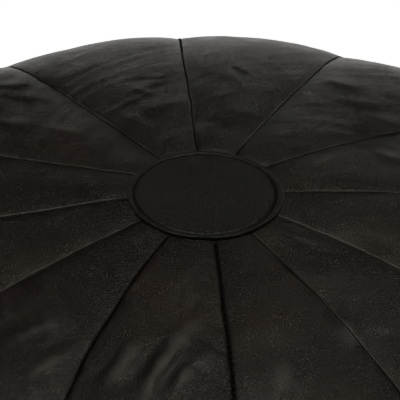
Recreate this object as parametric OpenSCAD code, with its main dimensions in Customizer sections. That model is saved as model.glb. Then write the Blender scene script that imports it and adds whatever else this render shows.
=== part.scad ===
// Low round leather pouf. Twelve leather gores run from a stitched medallion on the top,
// over the shoulder and down the side to a base of two half discs with a zip between them.
// A cotton bag of stuffing fills it. Millimetres, +Z up, origin on the floor under the middle.
// The zip lies along X and is shown closed, with its slider at the +X end.

/* [Overall] */
// Outside diameter at the widest level
pouf_d = 600; // [580:10:640]
// Height from the floor to the top of the medallion
pouf_h = 300; // [290:5:320]
// Height of the widest level above the floor
widest_z = 170; // [160:5:185]
// Radius of the side's bulge, seen from the side
side_r = 450; // [420:10:500]
// Radius of the round corner between the side and the floor
corner_r = 60; // [55:1:65]
// Squareness of the shoulder between the top and the side
shoulder_power = 8.5; // [7:0.1:9]
// Fall of the top from the medallion to the shoulder, where 1 is a straight cone
top_power = 1.15; // [1:0.05:1.3]

/* [Leather] */
// Thickness of the leather
leather_t = 1.5; // [1.2:0.1:1.8]
// Depth of the seam allowance, turned inside at every seam
allowance = 9; // [7:0.5:9]
// Angle of the first seam, counted from +X towards +Y
first_seam = 5; // [3:1:7]

/* [Medallion] */
// Diameter of the medallion
medallion_d = 116; // [112:2:116]
// Width of the hem turned under the medallion's edge
medallion_hem = 12; // [10:1:13]
// Distance of the topstitching from the medallion's edge
topstitch_inset = 4.5; // [4:0.5:6]

/* [Base] */
// Radius of the seam between the gores and the base
base_seam_r = 205.6; // [203:0.1:207]
// Height of the raised middle of the base, which keeps the zip off the floor
base_raise = 8; // [8:0.5:9]

/* [Zip] */
// Length of the opening that the zip closes
opening_l = 300; // [290:2:306]
// Distance from one tooth to the next on the same tape
tooth_pitch = 3; // [2.9:0.1:3.2]
// Width of each tape
tape_w = 16; // [14:1:18]
// Length of the pull, from its pivot to its tip
pull_l = 30; // [24:1:32]

/* [Filling] */
// Thickness of the cotton of the inner bag
cotton_t = 1; // [0.6:0.1:1]

/* [Hidden] */
$fn = 96;
gore_count = 12;
// Each seam's distance in degrees from even spacing, because the gores are cut by hand
seam_drift = [1, 2, 2, 1, 1, 2, 2, 2, 1, 1, 0, -4];
// Clearance in degrees that parts each gore's skin from the seam plane
skin_gap_deg = 0.02;
// Half the space between the two allowances of a seam, which the thread fills
seam_half_gap = 0.4;
thread_t = 0.7;
thread_w = 1.2;
thread_depth = 3;
stitch_r = 0.32;
stitch_l = 3;
stitch_pitch = 4;
stitch_fn = 16;

outer_r = pouf_d / 2;
skin_top = pouf_h - 2 * leather_t;
shoulder_h = skin_top - widest_z;
medallion_r = medallion_d / 2;
flat_r = medallion_r + 2;
gore_end_r = medallion_r - medallion_hem - 1;
groove_w = 1.4;
groove_depth = 0.7;
backing_r = medallion_r + 1;
backing_t = 1.2;

// The side arc meets the corner arc at this angle below the horizontal
arc_join = asin((widest_z - corner_r) / (side_r - corner_r));
side_cx = outer_r - side_r;
corner_cx = side_cx + (side_r - corner_r) * cos(arc_join);

// The base falls from its raised middle to the floor between these radii
base_flat_r = 172;
base_foot_r = 196;
opening_w = 12;
zip_hem = 10;

tape_t = 0.6;
tape_gap = 1.6;
tape_tail = 12;
tape_z = base_raise + 2 * leather_t;
chain_z = tape_z + tape_t / 2;
tooth_l = 4;
tooth_reach = 1;
tooth_w = 1.3;
tooth_h = 2.4;
teeth_from = -opening_l / 2 + 4;
slider_l = 13;
slider_w = 10;
slider_x = opening_l / 2 - 8;
plate_t = 1.3;
slide_gap = 0.3;
slider_wall = 1.5;
wedge_from = 1;
wedge_l = 4.5;
wedge_half_w = 1.2;
teeth_to = slider_x - 0.5;
teeth_n = floor((teeth_to - teeth_from - tooth_w - tooth_pitch / 2) / tooth_pitch) + 1;
plate_z = chain_z - tooth_h / 2 - slide_gap - plate_t;
pivot_z = plate_z - 2.5;
lug_r = 1.8;
lug_half_w = 1;
pivot_bore_r = 0.72;
pivot_bar_r = 0.65;
pull_t = 1.3;
pull_w = 7;
pull_window = 4;
pull_window_half_w = 1.3;
pull_eye_r = 1.2;
stop_l = 2.5;

bag_inset = leather_t + allowance + 1;
bag_base_z = base_raise + leather_t + allowance + 1.5;
bag_top_r = 270;
filling_gap = 0.2;

function gore_name(i) = str("gore_", i < 9 ? "0" : "", i + 1);

leather = [0.12, 0.11, 0.10];
medallion_leather = [0.10, 0.10, 0.09];
base_leather = [0.15, 0.14, 0.13];
thread = [0.20, 0.18, 0.16];
dark_tape = [0.07, 0.07, 0.07];
zip_metal = [0.45, 0.42, 0.36];
cotton = [0.85, 0.82, 0.74];

// ---- Outline of the pouf, seen as radius and height ----

function seam_angle(i) =
    first_seam + 360 / gore_count * i + seam_drift[i % gore_count];

// Height of the top at the fraction s of the way from the flat middle to the rim
function top_z(s) = widest_z + shoulder_h * pow(1 - pow(s, top_power), 1 / shoulder_power);
// The same curve the other way round: the radius at the fraction c of the shoulder's height
function rim_r(c) =
    flat_r + (outer_r - flat_r) * pow(1 - pow(c, shoulder_power), 1 / top_power);

top_steps = 8;
rim_steps = 18;
top_share = 0.6;
// The rim's points start a little below the height where the top's points stop
rim_share = 0.98 * pow(1 - pow(top_share, top_power), 1 / shoulder_power);
top_outline = concat(
    [[gore_end_r, skin_top]],
    [for (k = [0:top_steps]) let (s = top_share * pow(k / top_steps, 1.5))
        [flat_r + s * (outer_r - flat_r), top_z(s)]],
    [for (k = [0:rim_steps]) let (c = rim_share * (1 - k / rim_steps))
        [rim_r(c), widest_z + c * shoulder_h]]);

// The top moved inwards by d along its own normals, without its last point
function top_inset(d) = [for (i = [0:len(top_outline) - 2])
    let (run = top_outline[i + 1] - top_outline[max(i - 1, 0)])
        top_outline[i] + d * [run[1], -run[0]] / norm(run)];

// The side and the corner moved inwards by d, down to the height low_z
function lower_inset(d, low_z) = let (last = asin((corner_r - low_z) / (corner_r - d)))
    concat(
        [for (k = [0:6]) let (a = arc_join * k / 6)
            [side_cx + (side_r - d) * cos(a), widest_z - (side_r - d) * sin(a)]],
        [for (k = [1:8]) let (a = arc_join + (last - arc_join) * k / 8)
            [corner_cx + (corner_r - d) * cos(a), corner_r - (corner_r - d) * sin(a)]]);

function outline(d, low_z) = concat(top_inset(d), lower_inset(d, low_z));
function reversed(p) = [for (i = [len(p) - 1:-1:0]) p[i]];
function beyond(p, r) = [for (q = p) if (q[0] > r) q];

// A band between two depths below the surface, from beyond the medallion to the floor
function seam_band(d1, d2) =
    concat(beyond(outline(d1, d1), flat_r + 2), reversed(beyond(outline(d2, d2), flat_r + 2)));

// Extrudes a radius-and-height outline to thickness t, from y0 upwards, on the plane of angle a
module on_seam(a, y0, t) {
    rotate([0, 0, a]) translate([0, y0 + t, 0]) rotate([90, 0, 0]) linear_extrude(t) children();
}

// ---- Gores and medallion ----

module gore(i) {
    from = seam_angle(i) + skin_gap_deg;
    to = seam_angle(i + 1) - skin_gap_deg;
    gore_foot = base_seam_r + seam_half_gap;
    color(leather) union() {
        rotate([0, 0, from]) rotate_extrude(angle = to - from)
            polygon(concat(
                outline(0, 0),
                [[gore_foot, 0], [gore_foot, leather_t + allowance],
                 [gore_foot + leather_t, leather_t + allowance], [gore_foot + leather_t, leather_t]],
                reversed(outline(leather_t, leather_t))));
        on_seam(seam_angle(i), seam_half_gap, leather_t)
            polygon(seam_band(leather_t - 0.1, leather_t + allowance));
        on_seam(seam_angle(i + 1), -seam_half_gap - leather_t, leather_t)
            polygon(seam_band(leather_t - 0.1, leather_t + allowance));
    }
}

module gore_seam_threads() {
    color(thread) for (i = [0:gore_count - 1])
        on_seam(seam_angle(i), -thread_t / 2, thread_t)
            polygon(seam_band(thread_depth, thread_depth + thread_w));
}

// A disc with a hem turned under it all round and a shallow sewn groove
module medallion() {
    groove_r = medallion_r - topstitch_inset;
    color(medallion_leather) difference() {
        rotate_extrude() polygon(concat(
            [[0, pouf_h - leather_t], [medallion_r - medallion_hem, pouf_h - leather_t],
             [medallion_r - medallion_hem, skin_top]],
            [for (a = [-90:15:90]) [medallion_r - leather_t + leather_t * cos(a),
                                   skin_top + leather_t + leather_t * sin(a)]],
            [[0, pouf_h]]));
        rotate_extrude() translate([groove_r - groove_w / 2, pouf_h - groove_depth])
            square([groove_w, groove_depth + 1]);
    }
}

module stitch() {
    rotate([0, 90, 0]) cylinder(h = stitch_l, r = stitch_r, center = true, $fn = stitch_fn);
}

module medallion_topstitch() {
    groove_r = medallion_r - topstitch_inset;
    n = round(2 * PI * groove_r / stitch_pitch);
    color(thread) for (k = [0:n - 1])
        rotate([0, 0, 360 / n * k])
            translate([0, groove_r, pouf_h - groove_depth + stitch_r + 0.02]) stitch();
}

// The stiff disc under the gores' ends that the medallion is sewn through
module medallion_backing() {
    color(cotton) translate([0, 0, skin_top - leather_t - 0.05 - backing_t])
        cylinder(h = backing_t, r = backing_r);
}

// ---- Base ----

// Height of the underside of the base at the radius r
function base_z(r) = base_raise
    * (1 + cos(180 * min(max((r - base_flat_r) / (base_foot_r - base_flat_r), 0), 1))) / 2;

base_steps = 10;
base_fall = [for (k = [0:base_steps])
    let (r = base_flat_r + (base_foot_r - base_flat_r) * k / base_steps) [r, base_z(r)]];
base_edge = base_seam_r - seam_half_gap;

function raised(p, h) = [for (q = p) [q[0], q[1] + h]];

// The half on the +Y side of the zip
module base_half() {
    half_l = opening_l / 2;
    seam_from = half_l + tape_tail + 3;
    seam_line = concat([[seam_from, base_raise]], base_fall, [[base_edge - 4, 0]]);
    color(base_leather) union() {
        difference() {
            rotate_extrude(angle = 180) polygon(concat(
                [[0, base_raise]], base_fall,
                [[base_edge, 0], [base_edge, leather_t + allowance],
                 [base_edge - leather_t, leather_t + allowance], [base_edge - leather_t, leather_t]],
                raised(reversed(base_fall), leather_t), [[0, base_raise + leather_t]]));
            translate([-half_l, -1, 0]) cube([opening_l, opening_w / 2 + 1, 2 * base_raise]);
            translate([-outer_r, -1, -1]) cube([pouf_d, 1.1, 3 * base_raise]);
        }
        translate([-half_l, opening_w / 2, base_raise + leather_t - 0.1])
            cube([opening_l, zip_hem, leather_t + 0.1]);
        for (a = [0, 180])
            on_seam(a, a == 0 ? seam_half_gap : -seam_half_gap - leather_t, leather_t)
                polygon(concat(raised(seam_line, leather_t - 0.1),
                               reversed(raised(seam_line, leather_t + allowance))));
    }
}

module base_panel_rear() { base_half(); }
module base_panel_front() { mirror([0, 1, 0]) base_half(); }

module base_seam_thread() {
    color(thread) rotate_extrude()
        translate([base_seam_r - thread_t / 2, thread_depth]) square([thread_t, thread_w]);
}

// The seam that joins the two halves beyond both ends of the zip
module base_centre_threads() {
    seam_line = concat([[opening_l / 2 + tape_tail + 3, base_raise]], base_fall,
                       [[base_edge - 4, 0]]);
    color(thread) for (a = [0, 180])
        on_seam(a, -thread_t / 2, thread_t)
            polygon(concat(raised(seam_line, thread_depth),
                           reversed(raised(seam_line, thread_depth + thread_w))));
}

// ---- Zip ----

module tape_rear(grow = 0) {
    translate([-opening_l / 2 - tape_tail, tape_gap - grow, tape_z - grow])
        cube([opening_l + 2 * tape_tail, tape_w + grow, tape_t + 2 * grow]);
}

module zip_tape_rear() { color(dark_tape) tape_rear(); }
module zip_tape_front() { color(dark_tape) mirror([0, 1, 0]) tape_rear(); }

// One tape's row of teeth, which grip the tape's edge and reach over the middle line
module teeth_row(start) {
    difference() {
        for (k = [0:teeth_n - 1])
            translate([start + tooth_pitch * k, -tooth_reach, chain_z - tooth_h / 2])
                cube([tooth_w, tooth_l, tooth_h]);
        tape_rear(0.02);
    }
}

module zip_teeth_rear() { color(dark_tape) teeth_row(teeth_from); }
module zip_teeth_front() {
    color(dark_tape) mirror([0, 1, 0]) teeth_row(teeth_from + tooth_pitch / 2);
}

// A clip crimped over the tape's edge at each side of the closed end
module zip_top_stops() {
    color(zip_metal) for (m = [0, 1]) mirror([0, m, 0]) difference() {
        translate([slider_x + slider_l / 2 + 0.5, 0.8, chain_z - tooth_h / 2])
            cube([stop_l, 2.6, tooth_h]);
        tape_rear(0.02);
    }
}

// The staple that holds both tapes together at the end where the zip stops opening
module zip_bottom_stop() {
    color(zip_metal) difference() {
        translate([teeth_from - 0.5 - stop_l, -3, chain_z - tooth_h / 2])
            cube([stop_l, 6, tooth_h]);
        tape_rear(0.02);
        mirror([0, 1, 0]) tape_rear(0.02);
    }
}

module slider_plate(z) {
    shoulder = 3;
    translate([slider_x, 0, z]) linear_extrude(plate_t) polygon([
        [-slider_l / 2, -slider_w / 2 + 1], [slider_l / 2 - shoulder, -slider_w / 2],
        [slider_l / 2, -slider_w / 2 + shoulder], [slider_l / 2, slider_w / 2 - shoulder],
        [slider_l / 2 - shoulder, slider_w / 2], [-slider_l / 2, slider_w / 2 - 1]]);
}

// Two plates joined by a wedge at the leading end, with a lug below for the pull
module zip_slider() {
    inner_h = tooth_h + 2 * slide_gap;
    wall_h = (inner_h - tape_t) / 2 - slide_gap;
    wall_y = slider_w / 2 - slider_wall;
    color(zip_metal) difference() {
        union() {
            slider_plate(plate_z);
            slider_plate(plate_z + plate_t + inner_h);
            translate([slider_x + wedge_from, -wedge_half_w, plate_z + plate_t / 2])
                cube([wedge_l, 2 * wedge_half_w, inner_h + plate_t]);
            for (y = [-wall_y - slider_wall + 0.6, wall_y - 0.1])
                for (z = [plate_z + plate_t - 0.2, plate_z + plate_t + inner_h - wall_h])
                    translate([slider_x - slider_l / 2 + 1, y, z])
                        cube([slider_l - 5, slider_wall - 0.5, wall_h + 0.2]);
            translate([slider_x, 0, pivot_z]) rotate([90, 0, 0])
                cylinder(h = 2 * lug_half_w, r = lug_r, center = true);
            translate([slider_x - 1.3, -lug_half_w, pivot_z + 1])
                cube([2.6, 2 * lug_half_w, plate_z - pivot_z - 0.8]);
        }
        translate([slider_x, 0, pivot_z]) rotate([90, 0, 0])
            cylinder(h = 4 * lug_half_w, r = pivot_bore_r, center = true);
    }
}

// A flat tab with a window at one end, whose crossbar turns in the slider's lug
module zip_pull() {
    half_t = pull_t / 2;
    color(zip_metal) translate([slider_x, 0, pivot_z]) {
        difference() {
            union() {
                translate([-pull_l + pull_w / 2, -pull_w / 2, -half_t])
                    cube([pull_l - pull_w / 2, pull_w, pull_t]);
                translate([-pull_l + pull_w / 2, 0, -half_t])
                    cylinder(h = pull_t, r = pull_w / 2);
                rotate([90, 0, 0]) cylinder(h = pull_w, r = pull_eye_r, center = true);
            }
            translate([-pull_window, -pull_window_half_w, -2 * pull_eye_r])
                cube([pull_window + 2 * pull_eye_r, 2 * pull_window_half_w, 4 * pull_eye_r]);
        }
        rotate([90, 0, 0])
            cylinder(h = 2 * pull_window_half_w + 1, r = pivot_bar_r, center = true);
    }
}

// Stitches along both sides of the opening, on the underside
module zip_topstitch() {
    n = floor((opening_l - stitch_l) / stitch_pitch);
    color(thread) for (m = [0, 1]) mirror([0, m, 0]) for (k = [0:n])
        translate([(k - n / 2) * stitch_pitch, opening_w / 2 + 3, base_raise - stitch_r - 0.02])
            stitch();
}

// ---- Inner bag and stuffing ----

// The outline's point at which the bag's top is sewn to its side
bag_seam = len(top_inset(0)) - len(beyond(top_inset(0), bag_top_r));
function part_of(p, first, last) = [for (i = [first:last]) p[i]];

module inner_bag_top() {
    outer = part_of(outline(bag_inset, bag_base_z), 0, bag_seam);
    inner = part_of(outline(bag_inset + cotton_t, bag_base_z), 0, bag_seam);
    color(cotton) rotate_extrude() polygon(concat(
        [[0, outer[0][1]]], outer, reversed(inner), [[0, inner[0][1]]]));
}

module inner_bag_side() {
    low_z = bag_base_z + cotton_t + 0.05;
    outer = outline(bag_inset, low_z);
    inner = outline(bag_inset + cotton_t, low_z);
    last = len(outer) - 1;
    color(cotton) rotate_extrude()
        polygon(concat(part_of(outer, bag_seam, last), reversed(part_of(inner, bag_seam, last))));
}

module inner_bag_bottom() {
    rim = outline(bag_inset, bag_base_z);
    color(cotton) translate([0, 0, bag_base_z])
        cylinder(h = cotton_t, r = rim[len(rim) - 1][0]);
}

module stuffing() {
    fill = outline(bag_inset + cotton_t + filling_gap, bag_base_z + cotton_t + filling_gap);
    color(cotton) rotate_extrude() polygon(concat(
        [[0, fill[0][1]]], fill, [[0, fill[len(fill) - 1][1]]]));
}

// ---- The pieces ----

for (i = [0:gore_count - 1]) gore(i);
gore_seam_threads();
medallion();
medallion_topstitch();
medallion_backing();
base_panel_front();
base_panel_rear();
base_seam_thread();
base_centre_threads();
zip_tape_front();
zip_tape_rear();
zip_teeth_front();
zip_teeth_rear();
zip_top_stops();
zip_bottom_stop();
zip_slider();
zip_pull();
zip_topstitch();
inner_bag_top();
inner_bag_side();
inner_bag_bottom();
stuffing();
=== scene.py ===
import math
import random

import bpy
import numpy as np
from mathutils import Matrix, Vector


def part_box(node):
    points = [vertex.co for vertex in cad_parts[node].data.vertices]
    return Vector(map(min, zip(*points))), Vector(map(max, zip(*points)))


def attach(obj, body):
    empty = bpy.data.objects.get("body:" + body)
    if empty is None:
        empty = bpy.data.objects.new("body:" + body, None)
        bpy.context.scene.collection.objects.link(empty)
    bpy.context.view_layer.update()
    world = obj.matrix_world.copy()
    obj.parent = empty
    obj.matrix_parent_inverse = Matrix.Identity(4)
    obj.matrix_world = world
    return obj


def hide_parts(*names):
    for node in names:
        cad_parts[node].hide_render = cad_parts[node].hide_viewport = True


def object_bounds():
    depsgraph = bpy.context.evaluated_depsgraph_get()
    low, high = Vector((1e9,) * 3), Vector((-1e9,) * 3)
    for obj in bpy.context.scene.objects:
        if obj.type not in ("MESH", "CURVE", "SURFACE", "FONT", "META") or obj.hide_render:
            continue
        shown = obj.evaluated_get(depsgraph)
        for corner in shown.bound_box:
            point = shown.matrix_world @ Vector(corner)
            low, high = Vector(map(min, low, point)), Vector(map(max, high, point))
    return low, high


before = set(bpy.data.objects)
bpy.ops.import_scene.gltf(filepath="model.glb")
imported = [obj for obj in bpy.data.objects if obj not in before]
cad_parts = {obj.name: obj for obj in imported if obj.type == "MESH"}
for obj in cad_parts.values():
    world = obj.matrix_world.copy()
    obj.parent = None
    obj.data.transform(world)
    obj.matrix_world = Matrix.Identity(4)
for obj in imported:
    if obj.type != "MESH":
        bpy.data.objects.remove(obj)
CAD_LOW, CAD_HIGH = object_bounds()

# Everything is in metres, in the frame of the CAD model: +Z up, the camera on the -Y side.
MM = 0.001

# ---- Sizes that come from the frame ----

OUTER_R = CAD_HIGH.x
TOP_Z = CAD_HIGH.z
MEDALLION_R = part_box("medallion")[1].x
SKIN_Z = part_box("medallion")[0].z
BASE_SEAM_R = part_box("base_seam_thread")[1].x
BASE_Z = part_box("zip_topstitch")[1].z
STITCH_ROW_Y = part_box("zip_topstitch")[1].y

# ---- The outline, as in the CAD model ----

FLAT_R = MEDALLION_R + 2 * MM
GORE_END_R = 47 * MM
WIDEST_Z = 170 * MM
SIDE_R = 450 * MM
CORNER_R = 60 * MM
SHOULDER_POWER = 8.5
TOP_POWER = 1.15
# Part of the way to the rim up to which the outline goes by even steps of radius, and
# beyond it by even steps of height
TOP_SHARE = 0.6
TURNED_EDGE = 6 * MM
LEATHER_T = 1.5 * MM
BASE_LEATHER_T = 1.3 * MM

# ---- The seams ----

GORES = 12
# Angle of each seam in degrees beyond an even 30 degree step from 5 degrees,
# at the medallion, half way out and at the rim
SEAM_DRIFT = [
    (2.6, 1.5, 0.1), (5.2, 2.3, -1.3), (2.6, 2.2, 1.6), (1.3, 0.7, -0.1),
    (1.0, 1.1, 1.3), (-0.8, 2.2, 3.5), (-0.3, 2.1, 3.3), (0.5, 2.2, 3.2),
    (-2.0, 0.6, 3.8), (1.7, 1.1, 0.3), (0.6, -0.4, -1.6), (0.7, -3.6, -5.5),
]
DRIFT_AT = (58 * MM, 165 * MM, 290 * MM)
FIRST_SEAM = 5.0
SEAM_GAP = 0.15 * MM
# How far from the seam each gore's edge starts to roll into the valley, in millimetres
EDGE_ROUND = (1.4, 1.3, 1.3, 1.3, 1.4, 1.3, 1.5, 1.6, 1.8, 1.9, 1.6, 1.5)
# How strong the painted highlight is along the rolled edges of each seam
SEAM_HIGHLIGHT = (1.0, 1.0, 0.6, 0.7, 0.9, 0.8, 1.1, 1.0, 0.3, 0.1, 0.9, 1.2)
SEAM_STITCH_PITCH = 5.6 * MM
# Where along the outline the first stitch of each seam shows, beside the medallion
FIRST_STITCH_REACH = 67 * MM
STITCH_R = 0.42 * MM

# ---- Folds in the leather ----
# Each is the azimuth and reach of one end, of the middle and of the other end, then its half
# width and height. Azimuth is in degrees, reach is the way along the outline from the middle
# of the top, and the rest is in millimetres. A negative height is a valley.
FOLDS = [
    (258.6, 232, 262.8, 189, 269, 150, 6.5, 1.09), (261.5, 230, 264, 200, 268, 172, 5.5, -0.61),
    (264.5, 226, 266.6, 205, 270, 184, 5.5, 0.82), (256.5, 226, 258.4, 196, 261, 168, 6, -0.7),
    (252.8, 230, 254.2, 199, 257, 168, 6, 0.95), (249.5, 226, 251, 200, 253, 178, 5, -0.42),
    (264, 141, 265, 130, 266, 119, 3.5, 0.48), (245.5, 131, 247, 117, 249, 102, 3.5, 0.48),
    (237.5, 214, 239.5, 196, 241.8, 178, 5.5, -0.66), (239.5, 236, 241, 219, 243, 202, 5, 0.82),
    (231.5, 212, 233.8, 193, 237, 175, 6, 0.82), (226, 222, 228, 200, 230.5, 184, 6.5, -0.48),
    (121, 144, 117.5, 121, 113, 97, 4.5, 0.52), (111, 171, 108.8, 163, 106.5, 154, 4, 0.42),
    (135.5, 244, 132.2, 236, 129, 227, 5, 0.61), (137.5, 226, 135.2, 205, 133, 183, 7, -0.61),
    (145.5, 202, 143.5, 187, 141, 171, 5, 0.52), (141, 164, 139.3, 145, 136.5, 128, 5, 0.38),
    (85.5, 196, 82.8, 191, 80, 180, 3.5, -0.47), (63, 212, 57.5, 213, 52.5, 215, 5, 0.42),
    (55.5, 187, 50, 195, 45, 204, 5.5, 0.47), (46.5, 181, 42.5, 190, 39, 200, 4.5, 0.38),
    (31, 149, 26.5, 156, 23, 163, 4, 0.7), (331, 64, 330, 76, 329, 90, 2.6, 0.5),
    (323, 72, 324, 86, 326, 100, 2.6, 0.5), (300, 205, 303, 188, 305, 168, 7, 0.9),
    (282, 232, 285, 214, 286.5, 194, 7.5, 0.68), (288.5, 226, 290, 206, 290.5, 186, 6.5, -0.38),
]
# Broad rises in the stuffing: azimuth, reach, half width, height
SWELLS = [(134, 285, 60, 6.0), (52, 285, 60, 3.4), (90, 285, 50, -0.8), (284, 158, 50, 2.2)]
TOP_FOLDS_PER_GORE = 7
SIDE_FOLDS_PER_GORE = 7

# ---- Mesh spacing ----

ROW_STEP = 2.8 * MM
COLUMN_STEP = 3.0 * MM
# Width of a gore where it is widest, which sets its number of columns
GORE_WIDTH = 158 * MM


# ---------------------------------------------------------------- helpers

def hashed(cell, seed):
    """A number from -1 to 1 for each whole-numbered cell."""
    mixed = (cell[..., 0] * 73856093) ^ (cell[..., 1] * 19349663) ^ (cell[..., 2] * 83492791)
    mixed = (mixed ^ (seed * 2654435761)) & 0x7FFFFFFF
    mixed = (mixed * 1103515245 + 12345) & 0x7FFFFFFF
    mixed = ((mixed >> 9) * 69069 + 1) & 0xFFFFFF
    return mixed / float(0x7FFFFF) - 1.0


def soft_noise(points, size, seed):
    """Smooth noise from -1 to 1 at points, whose lumps are about size across."""
    scaled = points / size
    cell = np.floor(scaled).astype(np.int64)
    part = scaled - cell
    part = part * part * (3 - 2 * part)
    total = np.zeros(points.shape[:-1])
    for corner in np.ndindex(2, 2, 2):
        step = np.array(corner)
        weight = np.prod(np.where(step == 1, part, 1 - part), axis=-1)
        total += weight * hashed(cell + step, seed)
    return total


def smoothstep(x, low, high):
    t = np.clip((x - low) / (high - low), 0, 1)
    return t * t * (3 - 2 * t)


def new_piece(name, verts, faces, attributes=None):
    """A smooth-shaded mesh object from arrays, with one float attribute per entry."""
    mesh = bpy.data.meshes.new(name)
    mesh.from_pydata([tuple(v) for v in verts], [], [tuple(f) for f in faces])
    mesh.polygons.foreach_set("use_smooth", [True] * len(mesh.polygons))
    for key, values in (attributes or {}).items():
        layer = mesh.attributes.new(key, "FLOAT", "POINT")
        layer.data.foreach_set("value", np.asarray(values, dtype=np.float32).ravel())
    mesh.update()
    piece = bpy.data.objects.new(name, mesh)
    bpy.context.scene.collection.objects.link(piece)
    return piece


def grid_faces(rows, columns, closed=False):
    """Quads of a grid whose points are numbered row by row. closed joins each row's ends."""
    i = np.arange(rows - 1)[:, None] * columns
    j = np.arange(columns if closed else columns - 1)[None, :]
    k = (j + 1) % columns
    return np.stack([i + j, i + columns + j, i + columns + k, i + k], axis=-1).reshape(-1, 4)


def thicken(piece, thickness):
    """Leather of that thickness, on the inner side of the piece's surface."""
    shell = piece.modifiers.new("leather", "SOLIDIFY")
    shell.thickness = thickness
    shell.offset = -1
    shell.use_even_offset = False


def finish_piece(piece, material, slot, body, *nodes):
    """The piece's material, the body that it rides on and the nodes that it stands for."""
    piece.data.materials.append(material)
    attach(piece, body)
    if nodes:
        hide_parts(*nodes)


def capsules(centres, axes, length, radius, sides=8):
    """Vertices and faces of many short round-ended rods."""
    half = length / 2 - radius
    stations = [(-half - radius, 0.0), (-half - 0.71 * radius, 0.71), (-half, 1.0),
                (0.0, 1.06), (half, 1.0), (half + 0.71 * radius, 0.71), (half + radius, 0.0)]
    axes = axes / np.linalg.norm(axes, axis=1, keepdims=True)
    helper = np.where(np.abs(axes[:, 2:3]) < 0.9, [[0, 0, 1.0]], [[1.0, 0, 0]])
    side = np.cross(axes, helper)
    side /= np.linalg.norm(side, axis=1, keepdims=True)
    other = np.cross(axes, side)
    turn = np.arange(sides) * 2 * math.pi / sides
    rings = []
    for along, wide in stations:
        wide = max(wide, 0.02) * radius
        ring = (centres[:, None] + axes[:, None] * along
                + wide * (side[:, None] * np.cos(turn)[None, :, None]
                          + other[:, None] * np.sin(turn)[None, :, None]))
        rings.append(ring)
    verts = np.stack(rings, axis=1)
    per = len(stations) * sides
    one = grid_faces(len(stations), sides, closed=True)
    faces = [tuple(f) for f in one]
    caps = [tuple(range(sides)), tuple(reversed(range(per - sides, per)))]
    every = []
    for n in range(len(centres)):
        every += [tuple(v + n * per for v in f) for f in faces + caps]
    return verts.reshape(-1, 3), every


# ---------------------------------------------------------------- the outline

def make_outline():
    """Reach, radius, height and outward normal along the outline, from the axis to the base."""
    drop = SKIN_Z - WIDEST_Z
    share = np.linspace(0, TOP_SHARE, 200)
    radius = [0.0, *(FLAT_R + share * (OUTER_R - FLAT_R))]
    height = [SKIN_Z, *(WIDEST_Z + drop * (1 - share ** TOP_POWER) ** (1 / SHOULDER_POWER))]
    top_level = (1 - TOP_SHARE ** TOP_POWER) ** (1 / SHOULDER_POWER)
    level = np.linspace(top_level, 0, 300)[1:]
    radius += list(FLAT_R + (OUTER_R - FLAT_R) * (1 - level ** SHOULDER_POWER) ** (1 / TOP_POWER))
    height += list(WIDEST_Z + level * drop)
    join = math.asin((WIDEST_Z - CORNER_R) / (SIDE_R - CORNER_R))
    corner_x = OUTER_R - SIDE_R + (SIDE_R - CORNER_R) * math.cos(join)
    for a in np.linspace(0, join, 60)[1:]:
        radius.append(OUTER_R - SIDE_R + SIDE_R * math.cos(a))
        height.append(WIDEST_Z - SIDE_R * math.sin(a))
    for a in np.linspace(join, math.pi / 2, 60)[1:]:
        radius.append(corner_x + CORNER_R * math.cos(a))
        height.append(CORNER_R - CORNER_R * math.sin(a))
    radius.append(BASE_SEAM_R + 2 * MM)
    height.append(0.0)
    radius, height = np.array(radius), np.array(height)
    reach = np.concatenate([[0], np.cumsum(np.hypot(np.diff(radius), np.diff(height)))])
    even = np.arange(0, reach[-1], 0.5 * MM)
    radius, height = np.interp(even, reach, radius), np.interp(even, reach, height)
    # The leather rounds off what the formulas join at an angle.
    window = np.hanning(31)
    window /= window.sum()
    for values in (radius, height):
        padded = np.concatenate([2 * values[0] - values[15:0:-1], values,
                                 2 * values[-1] - values[-2:-17:-1]])
        values[:] = np.convolve(padded, window, mode="valid")
    # The edge turns up into the base seam.
    turn = np.linspace(0, math.pi / 2, 8)[1:]
    foot = radius[-1]
    radius = np.concatenate([radius, foot - 1.6 * MM * np.sin(turn), [foot - 1.6 * MM]])
    height = np.concatenate([height, 1.6 * MM * (1 - np.cos(turn)), [TURNED_EDGE]])
    reach = np.concatenate([[0], np.cumsum(np.hypot(np.diff(radius), np.diff(height)))])
    run_r, run_z = np.gradient(radius, reach), np.gradient(height, reach)
    size = np.hypot(run_r, run_z)
    return reach, radius, height, -run_z / size, run_r / size


REACH, RADIUS, HEIGHT, OUT_R, OUT_Z = make_outline()
END_REACH = REACH[-1]


def on_outline(reach):
    return [np.interp(reach, REACH, values) for values in (RADIUS, HEIGHT, OUT_R, OUT_Z)]


def seam_angle(index, reach):
    """Angle in radians of a seam at each reach, with the slight wander of hand sewing."""
    radius = np.interp(reach, REACH, RADIUS)
    out = np.where(reach < REACH[np.argmax(RADIUS)], radius, OUTER_R)
    drift = SEAM_DRIFT[index % GORES]
    # A quadratic through the three stated drifts, so that the seam has no corner
    t = np.clip((out - DRIFT_AT[0]) / (DRIFT_AT[2] - DRIFT_AT[0]), 0, 1)
    m = (DRIFT_AT[1] - DRIFT_AT[0]) / (DRIFT_AT[2] - DRIFT_AT[0])
    first, middle, last = drift
    bow = (middle - first - (last - first) * m) / (m * (m - 1))
    degrees = FIRST_SEAM + 360 / GORES * index + first + (last - first) * t + bow * t * (t - 1)
    flat = np.stack([reach, 0 * reach, 0 * reach], axis=-1)
    wander = 0.9 * MM * soft_noise(flat, 70 * MM, 100 + index % GORES)
    wander += 0.35 * MM * soft_noise(flat, 22 * MM, 130 + index % GORES)
    wander *= smoothstep(END_REACH - reach, 0, 60 * MM)
    return np.radians(degrees) + wander / np.maximum(radius, 40 * MM)


# ---------------------------------------------------------------- relief of the leather

def wrapped(angle):
    return (angle + math.pi) % (2 * math.pi) - math.pi


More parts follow.
